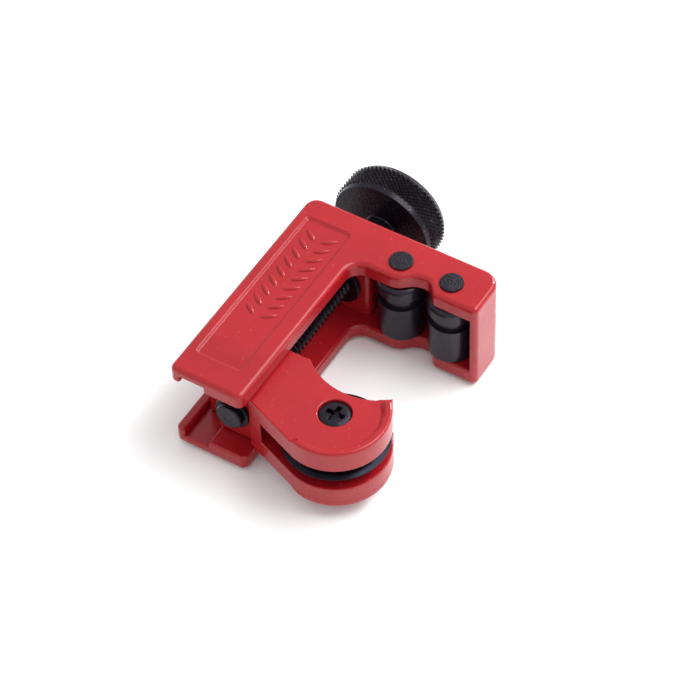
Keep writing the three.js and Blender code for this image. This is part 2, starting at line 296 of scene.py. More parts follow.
def raise_face(bm, bottom, top):
    """Turns a flat face in a bmesh into a closed prism between two heights."""
    move(bm, (0, 0, bottom))
    made = bmesh.ops.extrude_face_region(bm, geom=bm.faces[:])
    for vert in only(bmesh.types.BMVert, made["geom"]):
        vert.co.z = top
    return face_outward(bm)


def prism(corners, bottom, top, steps=6):
    return raise_face(rounded_face(corners, steps), bottom, top)


def block(xs, ys, zs):
    """A box between two places on each axis, with its corners kept on a fine grid."""
    bm = bmesh.new()
    bmesh.ops.create_cube(bm, size=1.0)
    bmesh.ops.scale(bm, vec=[b - a for a, b in (xs, ys, zs)], verts=bm.verts)
    move(bm, [(a + b) / 2 for a, b in (xs, ys, zs)])
    for vert in bm.verts:
        vert.co = [round(c, 4) for c in vert.co]
    return bm


def rod(radius, start, end, steps=64):
    """A closed cylinder between two points."""
    start, end = Vector(start), Vector(end)
    bm = bmesh.new()
    bmesh.ops.create_cone(
        bm, cap_ends=True, segments=steps, radius1=radius, radius2=radius, depth=(end - start).length
    )
    turn(bm, (end - start).to_track_quat("Z", "Y").to_matrix())
    return move(bm, (start + end) / 2)


def lathe(profile, steps=96, round_steps=4):
    """A turned solid about X from a closed profile of (x, radius, rounding) corners."""
    bm = rounded_face(profile, round_steps)
    bmesh.ops.delete(bm, geom=bm.faces[:], context="FACES_ONLY")
    on_axis = [e for e in bm.edges if all(abs(v.co.y) < 1e-6 for v in e.verts)]
    bmesh.ops.delete(bm, geom=on_axis, context="EDGES")
    spin_round(bm, steps)
    bmesh.ops.remove_doubles(bm, verts=bm.verts, dist=WELD)
    bmesh.ops.dissolve_degenerate(bm, edges=bm.edges, dist=WELD / 10)
    return face_outward(bm)


def hole_mouth(radius, height, edge, side=1):
    """Corners of a hole's wall that opens in a small curve through a surface at this height."""
    curve = []
    for degrees in (0, 30, 60, 90):
        a = math.radians(degrees)
        along = height - side * edge * (1 - math.sin(a))
        curve.append((along, radius + edge * (1 - math.cos(a)), 0))
    return [*curve, (height + side, radius + edge, 0)]


def gather(*parts):
    """Several closed shells in one bmesh."""
    whole = bmesh.new()
    for part in parts:
        mesh = bpy.data.meshes.new("shell")
        part.to_mesh(mesh)
        part.free()
        whole.from_mesh(mesh)
        bpy.data.meshes.remove(mesh)
    return whole


def sketch(name, bm):
    mesh = bpy.data.meshes.new(name)
    bm.to_mesh(mesh)
    bm.free()
    obj = bpy.data.objects.new(name, mesh)
    bpy.context.scene.collection.objects.link(obj)
    return obj


def baked(obj):
    """A bmesh of an object with its modifiers applied. The object is removed."""
    bpy.context.view_layer.update()
    depsgraph = bpy.context.evaluated_depsgraph_get()
    mesh = bpy.data.meshes.new_from_object(obj.evaluated_get(depsgraph))
    bm = bmesh.new()
    bm.from_mesh(mesh)
    bpy.data.meshes.remove(mesh)
    discard(obj)
    return bm


def discard(obj):
    mesh = obj.data
    bpy.data.objects.remove(obj)
    bpy.data.meshes.remove(mesh)


def combine(base, operation, *tools):
    """Joins solids to a base, or cuts them from it."""
    obj = sketch("base", base)
    helpers = [sketch("tool", tool) for tool in tools]
    for helper in helpers:
        modifier = obj.modifiers.new("combine", "BOOLEAN")
        modifier.operation = operation
        modifier.solver = "EXACT"
        modifier.object = helper
    bm = baked(obj)
    for helper in helpers:
        discard(helper)
    bmesh.ops.remove_doubles(bm, verts=bm.verts, dist=10 * WELD)
    bmesh.ops.dissolve_degenerate(bm, edges=bm.edges, dist=10 * WELD)
    bmesh.ops.dissolve_limit(bm, angle_limit=FLAT, verts=bm.verts, edges=bm.edges)
    return bm


def soften(bm, width_of, segments=4):
    """Rounds the sharp edges of a solid. width_of(edge, middle) gives each edge's width, or 0."""
    bm.normal_update()
    layer = bm.edges.layers.float.new("bevel_weight_edge")
    for edge in bm.edges:
        if len(edge.link_faces) != 2 or edge.calc_face_angle() < SHARP:
            continue
        middle = (edge.verts[0].co + edge.verts[1].co) / 2
        edge[layer] = width_of(edge, middle)
    obj = sketch("soft", bm)
    modifier = obj.modifiers.new("round", "BEVEL")
    modifier.limit_method = "WEIGHT"
    modifier.width = 1.0
    modifier.segments = segments
    modifier.profile = 0.5
    modifier.use_clamp_overlap = False
    modifier.miter_outer = "MITER_SHARP"
    bm = baked(obj)
    bmesh.ops.remove_doubles(bm, verts=bm.verts, dist=WELD)
    return bm


def shading_normals(bm, crease):
    """One normal for each face corner: neighbours within the crease angle, weighted by area."""
    limit = math.cos(crease)
    normals = []
    for face in bm.faces:
        for vert in face.verts:
            total = Vector()
            for other in vert.link_faces:
                if other.normal.dot(face.normal) >= limit:
                    total += other.normal * other.calc_area()
            normals.append(total.normalized())
    return normals


def place(name, bm, body, node, material, crease=40.0):
    """Makes a finished piece: into the frame's place, onto its body, for its CAD node."""
    if not bm.faces:
        raise RuntimeError(f"{name} has no faces")
    for face in bm.faces:
        face.smooth = True
    bm.normal_update()
    normals = shading_normals(bm, math.radians(crease))
    obj = sketch(name, bm)
    obj.data.transform(Matrix.Translation(DATUM) @ Matrix.Scale(1 / MM, 4))
    obj.data.normals_split_custom_set(normals)
    obj.data.materials.append(material)
    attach(obj, body)
    if node:
        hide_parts(node)
    return obj


# ---- shader groups -------------------------------------------------------------------


def new_group(name, inputs, outputs):
    """A shader node group with named sockets. inputs are (name, kind, default)."""
    group = bpy.data.node_groups.new(name, "ShaderNodeTree")
    for label, kind, default in inputs:
        socket = group.interface.new_socket(label, in_out="INPUT", socket_type=kind)
        socket.default_value = default
    for label, kind in outputs:
        group.interface.new_socket(label, in_out="OUTPUT", socket_type=kind)
    source = group.nodes.new("NodeGroupInput")
    sink = group.nodes.new("NodeGroupOutput")
    return group, source, sink


def add(tree, kind, **settings):
    node = tree.nodes.new(kind)
    for key, value in settings.items():
        setattr(node, key, value)
    return node


def feed(tree, value, socket):
    """Links a socket to an input, or sets a plain value on it."""
    if isinstance(value, bpy.types.NodeSocket):
        tree.links.new(value, socket)
    else:
        socket.default_value = value


def math_node(tree, operation, first, second=None):
    node = add(tree, "ShaderNodeMath", operation=operation)
    for socket, value in zip(node.inputs, (first, second)):
        if value is not None:
            feed(tree, value, socket)
    return node.outputs[0]


def noise(tree, vector, scale, detail=3.0, roughness=0.5):
    node = add(tree, "ShaderNodeTexNoise")
    node.inputs["Detail"].default_value = detail
    node.inputs["Roughness"].default_value = roughness
    feed(tree, vector, node.inputs["Vector"])
    feed(tree, scale, node.inputs["Scale"])
    return node.outputs["Fac"]


def remap(tree, value, low, high, new_low=0.0, new_high=1.0):
    node = add(tree, "ShaderNodeMapRange")
    for label, number in (("Value", value), ("From Min", low), ("From Max", high),
                          ("To Min", new_low), ("To Max", new_high)):
        feed(tree, number, node.inputs[label])
    return node.outputs["Result"]


def noise_range(tree, value, low, high):
    """A noise's usual spread carried over to another range."""
    return remap(tree, value, 0.3, 0.7, low, high)


def blend_colours(tree, mask, first, second):
    node = add(tree, "ShaderNodeMix", data_type="RGBA")
    for label, value in (("Factor", mask), ("A", first), ("B", second)):
        feed(tree, value, next(s for s in node.inputs if s.name == label and s.enabled))
    return next(s for s in node.outputs if s.enabled)


def build_drift_group():
    """Slow change of tone over a surface, as hand-sprayed or dipped finishes have."""
    group, source, sink = new_group(
        "tone drift",
        [("Vector", "NodeSocketVector", (0, 0, 0)), ("Scale", "NodeSocketFloat", 60.0),
         ("Thin", "NodeSocketColor", (0.8, 0.8, 0.8, 1)), ("Thick", "NodeSocketColor", (0.5, 0.5, 0.5, 1))],
        [("Colour", "NodeSocketColor"), ("Mask", "NodeSocketFloat")],
    )
    cloud = noise(group, source.outputs["Vector"], source.outputs["Scale"], 2.0, 0.45)
    mask = remap(group, cloud, 0.35, 0.68)
    colour = blend_colours(group, mask, source.outputs["Thin"], source.outputs["Thick"])
    group.links.new(colour, sink.inputs["Colour"])
    group.links.new(mask, sink.inputs["Mask"])
    return group


def build_speck_group():
    """Sparse small specks: dust on paint; on oxide, light grains that are partly the oxide's own grain and
    partly painted sparkle.
    """
    group, source, sink = new_group(
        "specks",
        [("Vector", "NodeSocketVector", (0, 0, 0)), ("Scale", "NodeSocketFloat", 900.0),
         ("Share", "NodeSocketFloat", 0.2)],
        [("Mask", "NodeSocketFloat")],
    )
    cells = add(group, "ShaderNodeTexVoronoi")
    group.links.new(source.outputs["Vector"], cells.inputs["Vector"])
    group.links.new(source.outputs["Scale"], cells.inputs["Scale"])
    dot = remap(group, cells.outputs["Distance"], 0.28, 0.16)
    pick = noise(group, source.outputs["Vector"], source.outputs["Scale"], 0.0)
    limit = math_node(group, "SUBTRACT", 1.0, source.outputs["Share"])
    chosen = math_node(group, "GREATER_THAN", pick, limit)
    group.links.new(math_node(group, "MULTIPLY", dot, chosen), sink.inputs["Mask"])
    return group


def build_grain_group():
    """Fine height of a surface: two sizes of grain added together."""
    group, source, sink = new_group(
        "surface grain",
        [("Vector", "NodeSocketVector", (0, 0, 0)), ("Coarse", "NodeSocketFloat", 400.0),
         ("Fine", "NodeSocketFloat", 2500.0), ("Fine Share", "NodeSocketFloat", 0.3)],
        [("Height", "NodeSocketFloat")],
    )
    coarse = noise(group, source.outputs["Vector"], source.outputs["Coarse"], 1.0)
    fine = noise(group, source.outputs["Vector"], source.outputs["Fine"], 2.0)
    weighted = math_node(group, "MULTIPLY", fine, source.outputs["Fine Share"])
    group.links.new(math_node(group, "ADD", coarse, weighted), sink.inputs["Height"])
    return group


def place_group(tree, group, vector, **values):
    node = add(tree, "ShaderNodeGroup", node_tree=group)
    tree.links.new(vector, node.inputs["Vector"])
    for label, value in values.items():
        feed(tree, value, node.inputs[label.replace("_", " ")])
    return node


# ---- materials -----------------------------------------------------------------------


def start_material(name):
    """A new material, its tree, its Principled shader and its Object coordinates."""
    material = bpy.data.materials.new(name)
    material.use_nodes = True
    tree = material.node_tree
    shader = tree.nodes["Principled BSDF"]
    where = add(tree, "ShaderNodeTexCoord").outputs["Object"]
    return material, tree, shader, where


def bump(tree, shader, height, distance):
    """Surface relief from a height mask. The distance is in metres."""
    node = add(tree, "ShaderNodeBump")
    node.inputs["Distance"].default_value = distance
    node.inputs["Strength"].default_value = 1.0
    tree.links.new(height, node.inputs["Height"])
    tree.links.new(node.outputs["Normal"], shader.inputs["Normal"])


def rgba(colour, factor=1.0):
    """A colour with its alpha, made lighter or darker by a factor."""
    return (*(part * factor for part in colour), 1.0)


def constants(shader, **values):
    """Sets what is the same all over a surface on the shader's own sockets."""
    for label, value in values.items():
        shader.inputs[label.replace("_", " ")].default_value = value


def red_paint(groups, finishes):
    """Glossy red paint on a die casting: slight orange peel, slow drift of tone, a little dust."""
    material, tree, shader, where = start_material("red paint")
    drift = place_group(tree, groups["drift"], where, Scale=70.0, Thin=rgba(finishes.paint),
                        Thick=rgba(finishes.paint_deep))
    dust = place_group(tree, groups["specks"], where, Scale=1100.0, Share=0.33)
    dusty = blend_colours(tree, math_node(tree, "MULTIPLY", dust.outputs["Mask"], 0.06),
                          drift.outputs["Colour"], (0.75, 0.55, 0.52, 1))
    tree.links.new(dusty, shader.inputs["Base Color"])
    smear = noise(tree, where, 160.0, 4.0, 0.6)
    base = finishes.paint_roughness
    tree.links.new(noise_range(tree, smear, base * 0.75, base * 1.3), shader.inputs["Roughness"])
    grain = place_group(tree, groups["grain"], where, Coarse=520.0, Fine=2600.0, Fine_Share=0.12)
    bump(tree, shader, grain.outputs["Height"], 0.00004)
    constants(shader, Metallic=0.0, Coat_Weight=0.2, Coat_Roughness=0.06, Specular_IOR_Level=0.3)
    return material


def black_oxide(groups, finishes, name, roughness, speckle, grain_size, grain_height):
    """Blackened steel: mottled oxide with small light grains scattered over it, partly grain in the oxide
    and partly painted sparkle standing in for glints.
    """
    material, tree, shader, where = start_material(name)
    drift = place_group(tree, groups["drift"], where, Scale=240.0, Thin=rgba(finishes.oxide),
                        Thick=rgba(finishes.oxide, 1.7))
    # painted sparkle: lighter grains mixed into the base colour, partly the oxide's own grain, partly
    # standing in for glints
    grains = place_group(tree, groups["specks"], where, Scale=grain_size, Share=0.42)
    shown = math_node(tree, "MULTIPLY", grains.outputs["Mask"], speckle)
    colour = blend_colours(tree, shown, drift.outputs["Colour"], rgba(finishes.oxide_grain_sparkle))
    tree.links.new(colour, shader.inputs["Base Color"])
    smear = noise(tree, where, 500.0, 3.0, 0.6)
    tree.links.new(noise_range(tree, smear, roughness * 0.8, roughness * 1.25), shader.inputs["Roughness"])
    grain = place_group(tree, groups["grain"], where, Coarse=grain_size, Fine=grain_size * 2.7,
                        Fine_Share=0.5)
    bump(tree, shader, grain.outputs["Height"], grain_height)
    constants(shader, Metallic=0.55, Specular_IOR_Level=0.38)
    return material


def turned_steel(groups, finishes):
    """Satin blackened steel of the rollers, with fine lathe lines round them."""
    material, tree, shader, where = start_material("roller steel")
    drift = place_group(tree, groups["drift"], where, Scale=180.0, Thin=rgba(finishes.roller),
                        Thick=rgba(finishes.roller, 1.35))
    tree.links.new(drift.outputs["Colour"], shader.inputs["Base Color"])
    stretch = add(tree, "ShaderNodeMapping")
    stretch.inputs["Scale"].default_value = (1.0, 1.0, 60.0)
    tree.links.new(where, stretch.inputs["Vector"])
    lines = noise(tree, stretch.outputs["Vector"], 110.0, 2.0, 0.5)
    tree.links.new(noise_range(tree, lines, 0.26, 0.42), shader.inputs["Roughness"])
    bump(tree, shader, lines, 0.000012)
    constants(shader, Metallic=0.4, Specular_IOR_Level=0.3, Coat_Weight=0.15, Coat_Roughness=0.12)
    return material


def blued_steel(groups, finishes, centre):
    """Ground and blued steel of the cutting wheel, with grinding rings about its axle."""
    material, tree, shader, where = start_material("blued steel")
    centred = add(tree, "ShaderNodeMapping")
    centred.inputs["Location"].default_value = [-c for c in centre]
    tree.links.new(where, centred.inputs["Vector"])
    split = add(tree, "ShaderNodeSeparateXYZ")
    tree.links.new(centred.outputs["Vector"], split.inputs["Vector"])
    across = math_node(tree, "MULTIPLY", split.outputs["X"], split.outputs["X"])
    along = math_node(tree, "MULTIPLY", split.outputs["Y"], split.outputs["Y"])
    radius = math_node(tree, "SQRT", math_node(tree, "ADD", across, along))
    ring_place = add(tree, "ShaderNodeCombineXYZ")
    closeness = 40.0
    tree.links.new(math_node(tree, "MULTIPLY", radius, closeness), ring_place.inputs["X"])
    tree.links.new(math_node(tree, "MULTIPLY", split.outputs["Z"], closeness), ring_place.inputs["Y"])
    rings = noise(tree, ring_place.outputs["Vector"], 120.0, 3.0, 0.6)
    red, green, blue = finishes.blued
    drift = place_group(tree, groups["drift"], where, Scale=150.0, Thin=rgba(finishes.blued),
                        Thick=rgba((red * 0.7, green * 0.7, blue * 0.6)))
    tree.links.new(drift.outputs["Colour"], shader.inputs["Base Color"])
    tree.links.new(noise_range(tree, rings, 0.20, 0.32), shader.inputs["Roughness"])
    bump(tree, shader, rings, 0.000008)
    constants(shader, Metallic=0.9)
    return material


def floor_finish(groups):
    """Pale matt studio floor with a faint mottle."""
    material, tree, shader, where = start_material("studio floor")
    drift = place_group(tree, groups["drift"], where, Scale=3.0, Thin=(0.93, 0.93, 0.93, 1),
                        Thick=(0.91, 0.91, 0.915, 1))
    tree.links.new(drift.outputs["Colour"], shader.inputs["Base Color"])
    constants(shader, Roughness=0.9)
    return material


def finish_named(name):
    """A material by its name; all of them are made on first use."""
    if "red paint" not in bpy.data.materials:
        finishes = bpy.context.scene.cutter_finishes
        groups = {"drift": build_drift_group(), "specks": build_speck_group(), "grain": build_grain_group()}
        red_paint(groups, finishes)
        # speckle sets how strongly the light grains show on each oxide; they are partly painted sparkle
        for kind, share_of_rough, speckle, grain_size, grain_height in (
            ("black oxide", 1.0, 0.5, 1500.0, 0.00002),
            ("pebbled oxide", 1.1, 1.0, 1900.0, 0.00016),
            ("knurled oxide", 0.7, 0.9, 1500.0, 0.00003),
            ("threaded oxide", 0.6, 0.5, 1500.0, 0.00001),
        ):
            rough = finishes.oxide_roughness * share_of_rough
            black_oxide(groups, finishes, kind, rough, speckle, grain_size, grain_height)
        turned_steel(groups, finishes)
        blued_steel(groups, finishes, DATUM + mm_middle("cutter_wheel") / MM)
        floor_finish(groups)
    return bpy.data.materials[name]


# ---- frame casting -------------------------------------------------------------------

PANEL_CORNER = 0.8
PANEL_DEPTH = 0.5
SLOPE_RUN = 0.15
SLOPE_DROPS = (0.02, 0.09, 0.14, 0.14, 0.09, 0.02)  # these add up to the panel's depth
PANEL_X = (5.7, 48.0)
PANEL_Y = (2.6, 13.0)


def frame_outline():
    """Corners of the C-shaped casting: heel, open end, spine, bay, roller notch and arm.

    The notch between the rollers is placed from the height of a pipe held by them.
    """
    low, high = mm_box("frame")
    pipe = mouth_middle()
    spine, arm, notch = 17.0, 11.4, 2.9
    heel, open_end, bay, blend, notch_end, tip, shoulder = 2.8, 1.5, 3.4, 4.0, 1.4, 1.2, 4.0
    return [
        (low.x, low.y, heel),
        (high.x, low.y, open_end),
        (high.x, spine, open_end),
        (arm, spine, bay),
        (arm, pipe - 4.7, blend),
        (arm - notch, pipe - 1.3, blend),
        (arm - notch, pipe + 1.6, notch_end),
        (arm, pipe + 4.1, notch_end),
        (arm, high.y, tip),
        (low.x, high.y, shoulder),
    ]


def panel_cut(side, face):
    """The recessed panel's cutter: a plug above the plate whose end curves in to the floor."""
    grow = SLOPE_RUN * len(SLOPE_DROPS) / 2
    (x0, x1), (y0, y1) = PANEL_X, PANEL_Y
    corner = PANEL_CORNER + grow
    x_low, x_high, y_low, y_high = x0 - grow, x1 + grow, y0 - grow, y1 + grow
    corners = [
        (x_low, y_low, corner), (x_high, y_low, corner),
        (x_high, y_high, corner), (x_low, y_high, corner),
    ]
    bm = prism(corners, -1.0, 0.0, 6)
    end = [f for f in bm.faces if f.normal.z > 0.9]
    for drop in SLOPE_DROPS:
        bmesh.ops.inset_region(bm, faces=end, thickness=SLOPE_RUN, depth=drop)
    if side > 0:
        turn_by(bm, math.pi, "X", about=(0, (y0 + y1) / 2, 0))
    return move(bm, (0, 0, side * face))


def frame_casting(size):
    """The C-shaped casting: hollow between its plates, softened, then panelled and bored."""
    low, high = mm_box("frame")
    face = high.z
    plate = face - size.plate * MM
    trough = face - size.skin * MM
    opening = face - size.lip_depth * MM
    lip, rail = size.lip_width * MM, size.rail * MM
    wall, back = size.knob_wall * MM, size.pocket_back * MM
    wall_end = 18.9
    pocket_front = 13
    tip = high.y - size.tip_wall * MM
    clear = 5  # how far the cutters reach past the open end and into the mouth
    past = high.x + clear
    overlap = 0.4
    room = [
        (wall, lip + 0.5, 0),
        (past, lip + 0.5, 0),
        (past, wall_end + clear, 0),
        (pocket_front, wall_end + clear, 0),
        (pocket_front, tip, 0),
        (back, tip, 0.6),
        (back, wall_end, 0.6),
        (wall, wall_end, 1.2),
    ]
    casting = combine(
        prism(frame_outline(), low.z, face, 8),
        "DIFFERENCE",
        prism(room, -plate, plate),
        block((wall, past), (lip, rail), (-trough, overlap - opening)),
        block((wall, past), (lip, rail), (opening - overlap, trough)),
        block((wall, past), (low.y - 2, lip + 1), (-opening, opening)),
    )

    def width(edge, middle):
        height = abs(middle.z)
        if not edge.is_convex:
            return 0.0
        if height > face - NEAR:
            return size.outer_edge * MM
        if middle.y > tip - NEAR and height < plate - NEAR:
            return 0.25
        return size.plate_edge * MM

    casting = soften(casting, width, 4)
    mouth = reversed(hole_mouth(BORE, 0, 0.3, -1))
    bore = lathe([(-1, 0, 0), *mouth, (wall + 1, BORE, 0), (wall + 1, 0, 0)], 64)
    move(bore, (low.x, mm_middle("feed_screw").y, 0))
    return combine(casting, "DIFFERENCE", panel_cut(1, face), panel_cut(-1, face), bore)


def grip_bars(size):
    """Two rows of raised slanted bars on each panel."""
    floor = mm_box("frame")[1].z - PANEL_DEPTH
    first, spacing, slant = 9.5, 2.9, math.radians(52)
    stretch = Matrix.Diagonal((1.8, 0.55, 0.36, 1.0))  # half of each bar's length, width and height
    bars = bmesh.new()
    for side in (1, -1):
        for row, lean in ((5.6, 1), (10.0, -1)):
            for i in range(size.bars):
                spot = Matrix.Translation((first + i * spacing, row, side * floor))
                aim = Matrix.Rotation(slant * lean, 4, "Z")
                bmesh.ops.create_uvsphere(bars, u_segments=20, v_segments=10, radius=1.0,
                                          matrix=spot @ aim @ stretch)
    return bars


# ---- carriage casting ----------------------------------------------------------------


def add_arc(bm, vert, centre, angle, steps):
    """Carries a chain of edges on round an arc, and returns its last vertex."""
    made = bmesh.ops.spin(bm, geom=[vert], cent=centre, axis=(0, 0, 1), angle=angle, steps=steps)
    return only(bmesh.types.BMVert, made["geom_last"])[0]


def add_line(bm, vert, point):
    end = bm.verts.new((*point, 0.0))
    bm.edges.new((vert, end))
    return end


def close_chain(bm, last, first):
    bm.edges.new((last, first))
    bmesh.ops.contextual_create(bm, geom=bm.verts[:] + bm.edges[:])
    return face_outward(bm)


def polar(centre, radius, angle):
    return (centre[0] + radius * math.cos(angle), centre[1] + radius * math.sin(angle))


NOSE_RADIUS = 11.4
FRONT_EDGE = (50.5, 16.0)
HORN_ANGLE = math.radians(134)


def nose_tangent(axle):
    """The angle on the nose where the straight front edge runs into it."""
    reach = Vector(FRONT_EDGE) - Vector(axle)
    return math.atan2(reach.y, reach.x) + math.acos(NOSE_RADIUS / reach.length)


def cheek_outline(axle, pipe_y, front, back):
    """The cheek's face: straight front edge, nose, horn and the hollow that clears the pipe."""
    mouth, edge_y, chamfer, step = 35.5, 21.4, 2.0, 1.4
    nose = NOSE_RADIUS - EASY
    bite_x, bite_radius = 24.5, 15.0
    first_angle = nose_tangent(axle)
    horn = polar(axle, nose, HORN_ANGLE)
    hollow_end = math.asin((horn[1] - pipe_y) / bite_radius)
    hollow_start = math.asin((edge_y - pipe_y) / bite_radius)
    bm = bmesh.new()
    first = bm.verts.new((front - chamfer, back, 0.0))
    last = add_line(bm, first, (front, back + chamfer))
    last = add_line(bm, last, (front, FRONT_EDGE[1]))
    last = add_line(bm, last, FRONT_EDGE)
    last = add_line(bm, last, polar(axle, nose, first_angle))
    last = add_arc(bm, last, (*axle, 0), HORN_ANGLE - first_angle, 56)
    last = add_line(bm, last, polar((bite_x, pipe_y), bite_radius, hollow_end))
    last = add_arc(bm, last, (bite_x, pipe_y, 0), hollow_start - hollow_end, 24)
    last = add_line(bm, last, (mouth, edge_y - step))
    last = add_line(bm, last, (mouth, back))
    return close_chain(bm, last, first)


def nose_lip(axle, width, side, base, top, start):
    """The raised lip round the nose: a soft-edged bead that rises at the front edge."""
    inner, foot, slope = NOSE_RADIUS - width, base - 0.6, 1.0
    first_share, rise_over = 0.04, math.radians(9)
    last_share, fall_over = 0.85, math.radians(20)
    bm = rounded_face([(NOSE_RADIUS, foot, 0), (NOSE_RADIUS, top, 0.6), (inner + slope, top, 0.5),
                       (inner, base - EASY, 0), (inner, foot, 0)], 5)
    bmesh.ops.delete(bm, geom=bm.faces[:], context="FACES_ONLY")
    turn_by(bm, math.pi / 2, "X")
    turn_by(bm, start, "Z")
    bmesh.ops.spin(bm, geom=bm.verts[:] + bm.edges[:], cent=(0, 0, 0), axis=(0, 0, 1),
                   angle=HORN_ANGLE - start, steps=90)
    bmesh.ops.remove_doubles(bm, verts=bm.verts, dist=WELD)
    for vert in bm.verts:
        along = math.atan2(vert.co.y, vert.co.x) - start
        rise = min(1.0, first_share + along / rise_over)
        fall = min(1.0, last_share + (HORN_ANGLE - start - along) / fall_over)
        if vert.co.z > base:
            vert.co.z = base + (vert.co.z - base) * rise * fall
    bmesh.ops.holes_fill(bm, edges=[e for e in bm.edges if e.is_boundary])
    if side < 0:
        turn(bm, Matrix.Diagonal((1, 1, -1)))
    return move(face_outward(bm), (*axle, 0))


def wheel_slot(axle, radius, half, end):
    """Cutter for the slot round the cutting wheel: a disc with its inner side cut straight."""
    well = rod(radius, (*axle, -half), (*axle, half), 96)
    trim(well, (0, end, 0), (0, -1, 0))
    return face_outward(well)


def carriage_casting(size):
    """The carriage: cheeks, foot and lips joined, slotted and softened, then bored."""
    wheel = mm_middle("cutter_wheel")
    axle = (wheel.x, wheel.y)
    low, high = mm_box("slider")
    lip_top, lip_width = 8.3, size.lip_width * MM
    cheek = lip_top - size.lip_height * MM
    half_slot, slot_reach, slot_end = size.slot * MM / 2, NOSE_RADIUS + 3.6, 17.6
    front, back, foot_top = 49.3, 6.1, 7.6
    start = nose_tangent(axle) + math.radians(1)
    body = raise_face(cheek_outline(axle, mouth_middle(), front, back), -cheek, cheek)
    foot = block((36.6, 45.6), (low.y, foot_top), (low.z, high.z))
    lips = [nose_lip(axle, lip_width, side, cheek, lip_top, start) for side in (1, -1)]
    body = combine(body, "UNION", foot, *lips)
    body = combine(body, "DIFFERENCE", wheel_slot(axle, slot_reach, half_slot, slot_end))

    def width(edge, middle):
        height = abs(middle.z)
        from_axle = (middle.xy - Vector(axle)).length
        on_nose = from_axle > NOSE_RADIUS - lip_width - NEAR and middle.y > 27
        if not edge.is_convex or on_nose and height > cheek - 0.7:
            return 0.0
        if middle.y < foot_top + 0.05 and height > 7.5 or middle.y < back - NEAR:
            return 0.25
        upright = abs(edge.verts[0].co.z - edge.verts[1].co.z) > 0.5
        if upright or height < half_slot + NEAR:
            return size.slot_edge * MM
        return size.cheek_edge * MM

    body = soften(body, width, 3)
    inside = 30
    bore = lathe([(inside, 0, 0), (inside, BORE, 0), *hole_mouth(BORE, front, 0.2), (front + 1, 0, 0)], 64)
    hole, recess_floor, recess_radius = 2.2, cheek - 2.2, size.recess * MM
    recess = stand_up(lathe([
        (-cheek - 1, 0, 0),
        (-cheek - 1, hole, 0),
        (recess_floor, hole, 0),
        (recess_floor, recess_radius, 0),
        *hole_mouth(recess_radius, cheek, 0.3),
        (cheek + 1, 0, 0),
    ], 64))
    move(bore, (0, mm_middle("feed_screw").y, 0))
    return combine(body, "DIFFERENCE", bore, move(recess, (*axle, 0)))


# ---- feed screw and knob -------------------------------------------------------------


def threaded_rod(size, radius, start, end):
    """A rod with a helical thread between two places on the screw's axis."""
    pitch, depth = size.pitch * MM, size.thread_depth * MM
    crest = pitch * 0.14
    flank = (pitch - 2 * crest) / 2
    turns = int((end - start) / pitch) + 3  # spare turns at both ends are trimmed off
    per_turn = 32
    bm = bmesh.new()
    first = bm.verts.new((start - pitch * 1.5, radius - depth, 0))
    chain = [first]
    for run, height in ((crest, radius - depth), (flank, radius), (crest, radius), (flank, radius - depth)):
        vert = bm.verts.new((chain[-1].co.x + run, height, 0))
        bm.edges.new((chain[-1], vert))
        chain.append(vert)
    bmesh.ops.spin(
        bm,
        geom=bm.verts[:] + bm.edges[:],
        cent=(0, 0, 0),
        axis=(1, 0, 0),
        dvec=(pitch / per_turn, 0, 0),
        angle=math.tau * turns,
        steps=per_turn * turns,
    )
    bmesh.ops.remove_doubles(bm, verts=bm.verts, dist=10 * WELD)
    trim(bm, (start, 0, 0), (-1, 0, 0))
    trim(bm, (end, 0, 0), (1, 0, 0))
    return face_outward(bm)


def feed_screw(size):
    """Knob seat, journal, collar, thread and grooved tip."""
    low, high = mm_box("feed_screw")
    radius, tip = 3.175, high.x
    seat_radius, seat_end = 2.6, -1.0
    collar, collar_start, thread_start = size.collar * MM, 8.8, 9.9
    groove, groove_start, groove_end = size.groove * MM, 49.6, 50.5
    head, dimple, dimple_depth = 3.0, 1.2, 0.12
    shank = lathe([
        (low.x, 0, 0),
        (low.x, seat_radius, 0.3),
        (seat_end, seat_radius, 0),
        (seat_end, radius, 0.2),
        (collar_start, radius, 0),
        (collar_start, collar, 0.25),
        (thread_start, collar, 0.25),
        (thread_start, radius - 0.5, 0),
        (thread_start + 0.5, radius - 0.75, 0),
        (thread_start + 0.5, 0, 0),
    ], 64)
    thread = threaded_rod(size, radius, thread_start - EASY, groove_start)
    end = lathe([
        (groove_start - 0.4, 0, 0),
        (groove_start - 0.4, groove, 0),
        (groove_end, groove, 0),
        (groove_end, head, 0.12),
        (tip, head, 0.35),
        (tip, dimple, 0),
        (tip - dimple_depth, dimple - 0.3, 0),
        (tip - dimple_depth, 0, 0),
    ], 64)
    return move(gather(shank, thread, end), axle_place("feed_screw"))


